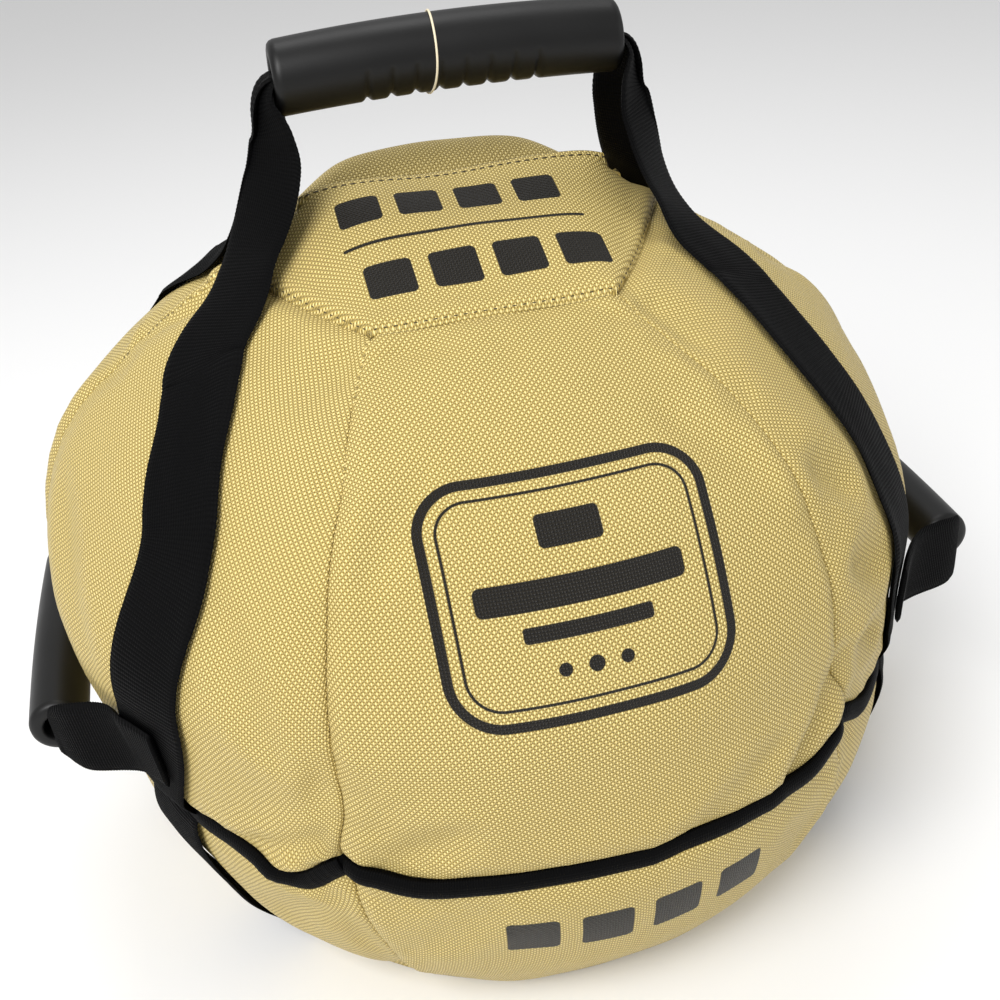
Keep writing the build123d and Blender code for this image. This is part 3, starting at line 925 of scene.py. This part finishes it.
def webbing_rows(centres, facings, widths, columns=15):
    """Flat rows across a webbing's path: its points, its outward normals, and where they lie across it."""
    tangents = unit(np.gradient(centres, axis=0))
    normals = unit(facings - np.sum(facings * tangents, axis=1, keepdims=True) * tangents)
    across = np.cross(tangents, normals)
    share = np.linspace(-0.5, 0.5, columns)
    rows = centres[:, None] + across[:, None] * (share[None, :, None] * widths[:, None, None])
    return rows, np.repeat(normals[:, None], columns, axis=1), share


def webbing_piece(name, rows, normals, share, at, widths, body, thickness=WEBBING_THICKNESS):
    """Ribbed webbing as a closed mesh: ribs stand proud of its outer face and serrate its edges."""
    rib = np.abs(np.sin(np.pi * at / RIB))[:, None]
    across = unit(rows[:, -1] - rows[:, 0])[:, None]
    rows = rows + across * (share[None, :, None] * 2) ** 9 * 0.25 * MM * rib[..., None]
    edge = np.sqrt(np.clip(1 - (np.abs(share) * 2) ** 8, 0, 1))[None, :]
    top = thickness * (0.5 + 0.5 * edge) + 0.2 * MM * (rib - 0.5) * edge
    under = thickness * 0.5 * (1 - edge)
    outer = rows + normals * top[..., None]
    inner = rows + normals * under[..., None]
    u = share[None, :] * widths[:, None]
    uv = np.stack([u, np.repeat(at[:, None], len(share), axis=1)], -1)
    points, faces, uvs = sheet_mesh(outer, inner, uv)
    return link(name, points, faces, body, "webbing", uvs)


def settle(rows, normals, tree, hold, sigma):
    """Rows laid on the cloth under them: bridged over its hollows, and free where hold is 0."""
    lift = np.zeros(rows.shape[:2])
    facing = normals.copy()
    for r in range(rows.shape[0]):
        if hold[r] <= 0:
            continue
        for c in range(rows.shape[1]):
            near, normal = tree.find_nearest(Vector(rows[r, c]), 0.05)[:2]
            if near is not None:
                lift[r, c] = float(np.dot(np.array(near) - rows[r, c], normals[r, c]))
                facing[r, c] = np.array(normal) * (1 if normal.dot(Vector(normals[r, c])) > 0 else -1)
    smooth_lift = np.maximum(blur(lift, sigma), blur(np.maximum(lift, blur(lift, sigma)), 0.5 * sigma))
    weight = hold[:, None, None]
    moved = rows + normals * (smooth_lift[..., None] + 1.1 * MM) * weight
    facing = unit(blur(facing, sigma))
    return moved, unit(facing * weight + normals * (1 - weight))


def build_strap(x_sign, y_sign, tree):
    """One strap from the base seam to the inside of the top grip. It bends where the handle turns."""
    side = "left" if x_sign < 0 else "right"
    end = "front" if y_sign < 0 else "back"
    pivot = PIVOT[2]
    mirror = np.array([x_sign, y_sign, 1.0])
    points, facings, widths, holds = [], [], [], []
    for height in np.concatenate([np.linspace(0.004, 0.24, 34), [0.249, 0.257, 0.2635]]):
        angle = math.radians(float(strap_azimuth(height, x_sign, y_sign)))
        ray = Vector((math.cos(angle), math.sin(angle), 0))
        hit, normal = tree.ray_cast(Vector((-float(slump(height)), 0, height)), ray)[:2]
        points.append(np.array(hit))
        facings.append(np.array(normal) * (1 if normal.dot(ray) > 0 else -1))
        widths.append(WEBBING)
        holds.append(1.0)
    facings = list(unit(blur(np.array(facings), 2.0)))
    shift = -SLUMP * np.array([1.0, 0, 0])
    free = [
        ((0.0775, 0.0170, pivot - 0.024), (0.80, 0.45, 0.40), 33, 0.0, 0.5),
        ((0.0680, 0.0085, pivot + 0.001), (0.76, 0.65, 0.05), 27, 0.0, 0.0),
        ((0.0660, 0.0065, pivot + 0.014), (0.80, 0.60, 0.0), 24, 0.0, 0.0),
        ((0.0670, 0.0032, pivot + 0.0245), (0.92, 0.30, 0.25), 19, 0.0, 0.0),
        ((0.0640, 0.0010, pivot + 0.0308), (0.62, 0.15, 0.80), 15, 0.0, 0.0),
        ((0.0580, 0.0004, pivot + 0.0322), (0.10, 0.0, 1.0), 15, 0.0, 0.0),
    ]
    for place, facing, width, hold, moved in free:
        points.append(np.array(place) * mirror + shift * moved)
        facings.append(unit(np.array(facing) * mirror))
        widths.append(width * MM)
        holds.append(hold)
    even, at = even_path(points, 0.35 * MM, facings, widths, holds)
    centres, facing, width, hold = even[:, :3], even[:, 3:6], even[:, 6], np.clip(even[:, 7], 0, 1)
    rows, normals, share = webbing_rows(centres, facing, width)
    rows, normals = settle(rows, normals, tree, ease(hold), 11.0)
    rows[..., 2] = np.maximum(rows[..., 2], 0.6 * MM)
    ob = webbing_piece(f"{end}_{side}_strap_webbing", rows, normals, share, at, width, None)
    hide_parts(f"{end}_{side}_strap", "top_grip_webbing")
    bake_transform(ob)


def build_side_webbing(x_sign, tree):
    """The band of one side handle: sewn to the front strap, through the grip, and sewn to the back strap."""
    side = "left" if x_sign < 0 else "right"
    low, high = box(side + "_grip")
    grip_x, end_y, level = 0.5 * (low[0] + high[0]), high[1], 0.5 * (low[2] + high[2])
    reach = abs(grip_x)
    sewn = level + SEWN_RISE
    angle = math.radians(float(smooth(sewn, STATIONS[:, 0], STATIONS[:, 4])))
    body_x, body_y = WAIST_RADIUS * math.cos(angle), WAIST_RADIUS * math.sin(angle)
    half = [
        ((body_x - 0.004, body_y + 0.0062, sewn), (math.cos(angle), math.sin(angle), 0), 26, 1.0),
        ((body_x + 0.003, body_y - 0.0045, sewn), (math.cos(angle), math.sin(angle), 0), 27, 1.0),
        ((body_x + 0.0105, body_y - 0.0125, sewn - 0.002), (0.86, 0.50, 0), 29, 0.5),
        ((reach - 0.0095, end_y + 0.0170, level + 0.45 * SEWN_RISE), (0.80, 0.60, 0.02), 28, 0.0),
        ((reach - 0.0025, end_y + 0.0070, level + 0.15 * SEWN_RISE), (0.86, 0.50, 0.0), 21, 0.0),
        ((reach - 0.0002, end_y + 0.0005, level - 0.0005), (0.98, 0.15, 0), 14, 0.0),
        ((reach, end_y - 0.012, level), (1, 0, 0), 12, 0.0),
        ((reach, end_y - 0.035, level), (1, 0, 0), 12, 0.0),
    ]
    points, facings, widths, holds = [], [], [], []
    for y_sign, part in ((-1, half), (1, half[::-1])):
        for place, facing, width, hold in part:
            x = place[0] * x_sign - (SLUMP if hold else 0) * float(slump(level) / SLUMP) * hold
            points.append((x, place[1] * y_sign, place[2]))
            facings.append((facing[0] * x_sign, facing[1] * y_sign, facing[2]))
            widths.append(width * MM)
            holds.append(hold)
    even, at = even_path(points, 0.35 * MM, facings, widths, holds)
    centres, facing, width, hold = even[:, :3], even[:, 3:6], even[:, 6], np.clip(even[:, 7], 0, 1)
    rows, normals, share = webbing_rows(centres, facing, width)
    rows, normals = settle(rows, normals, tree, ease(hold), 8.0)
    rows = rows + normals * (2.6 * MM * ease(hold))[:, None, None]
    ob = webbing_piece(side + "_handle_webbing", rows, normals, share, at, width, None, 2.4 * MM)
    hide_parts(side + "_grip_webbing", side + "_anchor_patches")
    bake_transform(ob)


# ---------------------------------------------------------------- grips and trimmings

NOTCHES = 8
NOTCH_PITCH = 8.8 * MM


def build_grip(name, node, body, radius, turn, bow):
    """A moulded rubber grip: bowed a little, round-ended, with a deep mouth and finger notches."""
    low, high = box(node)
    centre = 0.5 * (low + high)
    half = 0.5 * max(high - low)
    mouth = radius - 5.6 * MM
    ends = [(half - 9 * MM, 0.4 * MM), (half - 9 * MM, mouth), (half - 1.2 * MM, mouth),
            (half - 0.3 * MM, mouth + 0.5 * MM), (half, mouth + 1.3 * MM), (half, radius - 2.6 * MM),
            (half - 0.35 * MM, radius - 1.3 * MM), (half - 1.2 * MM, radius - 0.4 * MM),
            (half - 2.6 * MM, radius)]
    inner = np.linspace(-(half - 3.4 * MM), half - 3.4 * MM, 230)
    xs = np.concatenate([[-x for x, r in ends], inner, [x for x, r in ends[::-1]]])
    rs = np.concatenate([[r for x, r in ends], np.full(len(inner), radius), [r for x, r in ends[::-1]]])
    count = 72
    angles = 2 * np.pi * np.arange(count) / count
    under = np.clip(-np.sin(angles), 0, 1) ** 0.6
    cuts = np.zeros_like(xs)
    for k in range(NOTCHES):
        cuts += np.exp(-(((xs - (k - (NOTCHES - 1) / 2) * NOTCH_PITCH)) / (1.15 * MM)) ** 2)
    cuts = cuts * (rs >= radius - 1e-6)
    swell = 0.35 * MM * (1 - (xs / half) ** 2) * (rs >= radius - 1e-6)
    r = rs[:, None] + swell[:, None] - 1.5 * MM * cuts[:, None] * under[None, :]
    bowed = bow * (1 - (xs / half) ** 2)[:, None]
    local = np.stack([np.repeat(xs[:, None], count, 1), r * np.cos(angles), r * np.sin(angles)], -1)
    bow_axis = np.array([0, 0, 1.0]) if turn is None else np.array([0, turn, 0])
    local = local + bowed[..., None] * bow_axis
    if turn is not None:
        local = np.stack([-local[..., 1], local[..., 0], local[..., 2]], -1)
    grid = local + centre
    points = grid.reshape(-1, 3)
    faces = [f[::-1] for f in ring_faces(len(xs), count)]
    faces.append(tuple(range(count)))
    faces.append(tuple(reversed(range((len(xs) - 1) * count, len(xs) * count))))
    uv = np.stack([np.repeat(xs[:, None], count, 1), np.repeat((angles * radius)[None], len(xs), 0)], -1)
    ob = link(name, points, faces, body, "grip_rubber", uv.reshape(-1, 2))
    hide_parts(node)


def tube_loop(name, path, radius, body, slot, around=8):
    """A closed loop of round thread."""
    tangents = unit(np.roll(path, -1, axis=0) - np.roll(path, 1, axis=0))
    first = unit(np.cross(tangents, np.array([1.0, 0.3, 0.2])))
    second = np.cross(tangents, first)
    angles = 2 * np.pi * np.arange(around) / around
    grid = path[:, None] + radius * (np.cos(angles)[None, :, None] * first[:, None]
                                     + np.sin(angles)[None, :, None] * second[:, None])
    count = len(path)
    faces = []
    for i in range(count):
        j = (i + 1) % count
        for k in range(around):
            m = (k + 1) % around
            faces.append((i * around + k, i * around + m, j * around + m, j * around + k))
    return link(name, grid.reshape(-1, 3), faces, body, slot)


def build_thread():
    low, high = box("grip_thread")
    centre = 0.5 * (low + high)
    radius = 0.5 * (high[2] - low[2]) - 0.15 * MM
    angles = np.linspace(0, 2 * np.pi, 96, endpoint=False)
    lean = 1.6 * MM * np.sin(angles) + 0.5 * MM * np.sin(2 * angles + 0.7)
    bow = 2.3 * MM
    path = np.stack([centre[0] + lean, centre[1] + radius * np.cos(angles),
                     centre[2] + bow + (radius + 0.2 * MM) * np.sin(angles)], -1)
    ob = tube_loop("grip_thread_loop", path, 0.42 * MM, "top_handle", "thread")
    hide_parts("grip_thread")


def build_band(grid, cut):
    """The flat tape over the waist seam, crowned like piping and pressed into the groove."""
    row = grid[cut["waist"]]
    normals = grid_normals(grid, True)
    facing = unit(blur(normals[cut["waist"] - 8:cut["waist"] + 9].mean(axis=0), 5.0) * [1, 1, 0.15])
    row = row + facing * 1.4 * MM - [0, 0, 1.5 * MM]
    up = unit(np.cross(facing, np.roll(row, -1, axis=0) - np.roll(row, 1, axis=0)))
    up = np.where(up[:, 2:] < 0, -up, up)
    half = 4.2 * MM
    profile = [(-half, -1.2), (-half, 0.5), (-0.85 * half, 1.2), (-0.5 * half, 1.9), (0, 2.2),
               (0.5 * half, 1.9), (0.85 * half, 1.2), (half, 0.5), (half, -1.2), (0, -1.4)]
    grid_points = np.stack([row + up * v + facing * (w * MM) for v, w in profile], 0)
    count, columns = grid_points.shape[:2]
    faces = []
    for r in range(count):
        for c in range(columns):
            n, t = (c + 1) % columns, (r + 1) % count
            faces.append((r * columns + c, r * columns + n, t * columns + n, t * columns + c))
    along = np.concatenate([[0], np.cumsum(np.linalg.norm(np.diff(row, axis=0), axis=1))])
    uv = np.stack([np.repeat([[v] for v, w in profile], columns, 1), np.repeat(along[None], count, 0)], -1)
    ob = link("waist_tape", grid_points.reshape(-1, 3), faces, "bag", "band_tape", uv.reshape(-1, 2))
    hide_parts("waist_band")


def stitches(name, path, normals, pitch, length, radius):
    """A row of thread dashes along a path, each a small rounded body that dips into the cloth at both ends."""
    arc = np.concatenate([[0], np.cumsum(np.linalg.norm(np.diff(path, axis=0), axis=1))])
    middles = np.arange(0.6 * pitch, arc[-1] - 0.5 * pitch, pitch)
    profile = [(-0.5, 0.25, -0.9), (-0.42, 0.8, -0.2), (-0.2, 1.0, 0.35), (0.2, 1.0, 0.35), (0.42, 0.8, -0.2),
               (0.5, 0.25, -0.9)]
    angles = 2 * np.pi * np.arange(6) / 6
    points, faces = [], []
    for middle in middles:
        base = len(points)
        for t, size, rise in profile:
            at = middle + t * length
            place = np.array([np.interp(at, arc, path[:, k]) for k in range(3)])
            ahead = np.array([np.interp(at + 0.5 * MM, arc, path[:, k]) for k in range(3)]) - place
            n = np.array([np.interp(at, arc, normals[:, k]) for k in range(3)])
            n = n / np.linalg.norm(n)
            b = np.cross(ahead, n)
            b = b / max(np.linalg.norm(b), 1e-9)
            for angle in angles:
                points.append(place + n * (rise * radius + radius * size * math.sin(angle))
                              + b * radius * size * math.cos(angle))
        for r in range(len(profile) - 1):
            for k in range(6):
                m = (k + 1) % 6
                a, d = base + r * 6, base + (r + 1) * 6
                faces.append((a + k, a + m, d + m, d + k))
        faces.append(tuple(base + k for k in reversed(range(6))))
        faces.append(tuple(base + 30 + k for k in range(6)))
    link(name, points, faces, "bag", "thread", None, "stitching")


def row_at(grid, start, distance):
    """A row of points at a distance along the cloth from row start: up the cloth where positive."""
    part = grid[start:] if distance > 0 else grid[start::-1]
    arcs = arc_along(part, 0)
    result = np.empty((grid.shape[1], 3))
    for c in range(grid.shape[1]):
        for k in range(3):
            result[c, k] = np.interp(abs(distance), arcs[:, c], part[:, c, k])
    return result


def build_stitching(grid, cut):
    normals = grid_normals(grid, True)
    half = grid.shape[1] // 2
    last = grid.shape[0] - 1
    trim = 14
    lip = slice(half + trim, 2 * half - trim)
    stitches("lip_stitching", row_at(grid, last, -3.0 * MM)[lip], normals[-4][lip],
             3.5 * MM, 2.4 * MM, 0.30 * MM)
    rim = row_at(grid, cut["rim"], 2.6 * MM)
    rim = np.concatenate([rim, rim[:1]])
    facing = normals[cut["rim"] + 3]
    facing = np.concatenate([facing, facing[:1]])
    stitches("rim_stitching", rim, facing, 3.4 * MM, 1.5 * MM, 0.21 * MM)


# ---------------------------------------------------------------- camera, light, floor

def build_camera():
    """The photograph's view: from the front, a little to the left, looking down, rolled slightly."""
    azimuth, elevation, roll = (math.radians(a) for a in (-11.4, 31.1, -5.1))
    distance, height, right_shift = 0.549, 0.1555, 0.0047
    back = Vector((math.sin(azimuth) * math.cos(elevation), -math.cos(azimuth) * math.cos(elevation),
                   math.sin(elevation)))
    right = Vector((math.cos(azimuth), math.sin(azimuth), 0))
    up = back.cross(right)
    turned_right = right * math.cos(roll) + up * math.sin(roll)
    turned_up = up * math.cos(roll) - right * math.sin(roll)
    place = Vector((0, 0, height)) + back * distance + right * right_shift
    data = bpy.data.cameras.new("camera")
    data.sensor_width = 36.0
    data.lens = 45.6
    data.clip_start = 0.01
    camera = bpy.data.objects.new("camera", data)
    bpy.context.collection.objects.link(camera)
    rotation = Matrix((turned_right, turned_up, back)).transposed().to_4x4()
    camera.matrix_world = Matrix.Translation(place) @ rotation
    bpy.context.scene.camera = camera


def area_light(name, place, target, size, power):
    data = bpy.data.lights.new(name, "AREA")
    data.shape = "RECTANGLE"
    data.size, data.size_y = size
    data.energy = power
    light = bpy.data.objects.new(name, data)
    bpy.context.collection.objects.link(light)
    light.location = place
    direction = Vector(target) - Vector(place)
    light.rotation_euler = direction.to_track_quat("-Z", "Y").to_euler()


def build_stage():
    mesh = bpy.data.meshes.new("floor")
    mesh.from_pydata([(-30, -30, 0), (30, -30, 0), (30, 30, 0), (-30, 30, 0)], [], [(0, 1, 2, 3)])
    floor = bpy.data.objects.new("floor", mesh)
    bpy.context.collection.objects.link(floor)
    material, _, shader = nodes_of("pale_floor")
    shader.inputs["Base Color"].default_value = (0.86, 0.86, 0.86, 1)
    shader.inputs["Roughness"].default_value = 0.9
    mesh.materials.append(material)
    world = bpy.data.worlds.new("studio")
    world.use_nodes = True
    world.node_tree.nodes["Background"].inputs[0].default_value = (1, 1, 1, 1)
    world.node_tree.nodes["Background"].inputs[1].default_value = 0.62
    bpy.context.scene.world = world
    bpy.context.scene.view_settings.view_transform = "Standard"
    area_light("key", (-0.75, -0.95, 1.35), (0, 0, 0.15), (0.8, 0.8), 26)
    area_light("fill", (1.2, -0.7, 0.7), (0, 0, 0.15), (1.0, 1.0), 2)
    area_light("top", (0.1, 0.5, 1.6), (0, 0, 0.2), (1.0, 0.6), 6)


def surface_tree(grid):
    points = [Vector(p) for p in grid.reshape(-1, 3)]
    return BVHTree.FromPolygons(points, ring_faces(grid.shape[0], grid.shape[1]))


def dress_cad_nodes():
    """The CAD nodes that still show get a material of the same kind as their slot."""
    slots = {s["node"]: s["material_slot"] for s in frame["record"]["subparts"]}
    for name, ob in frame["nodes"].items():
        if not ob.hide_render:
            ob.data.materials.clear()
            ob.data.materials.append(MATERIALS[slots[name]])


def main():
    grid, cut = fine_surface()
    detailed = add_detail(grid, cut)
    build_panels(detailed, cut)
    build_bottom(detailed)
    build_filling(grid, cut)
    build_band(detailed, cut)
    build_stitching(detailed, cut)
    tree = surface_tree(detailed)
    for x_sign in (-1, 1):
        for y_sign in (-1, 1):
            build_strap(x_sign, y_sign, tree)
        build_side_webbing(x_sign, tree)
    build_grip("top_grip_rubber", "top_grip", "top_handle", 0.5 * (grip_high[1] - grip_low[1]), None, 2.3 * MM)
    side_radius = 0.5 * (left_high[2] - left_low[2])
    build_grip("left_grip_rubber", "left_grip", "left_handle", side_radius, 1, 1.0 * MM)
    build_grip("right_grip_rubber", "right_grip", "right_handle", side_radius, -1, 1.0 * MM)
    build_thread()
    dress_cad_nodes()


build_camera()
build_stage()
main()
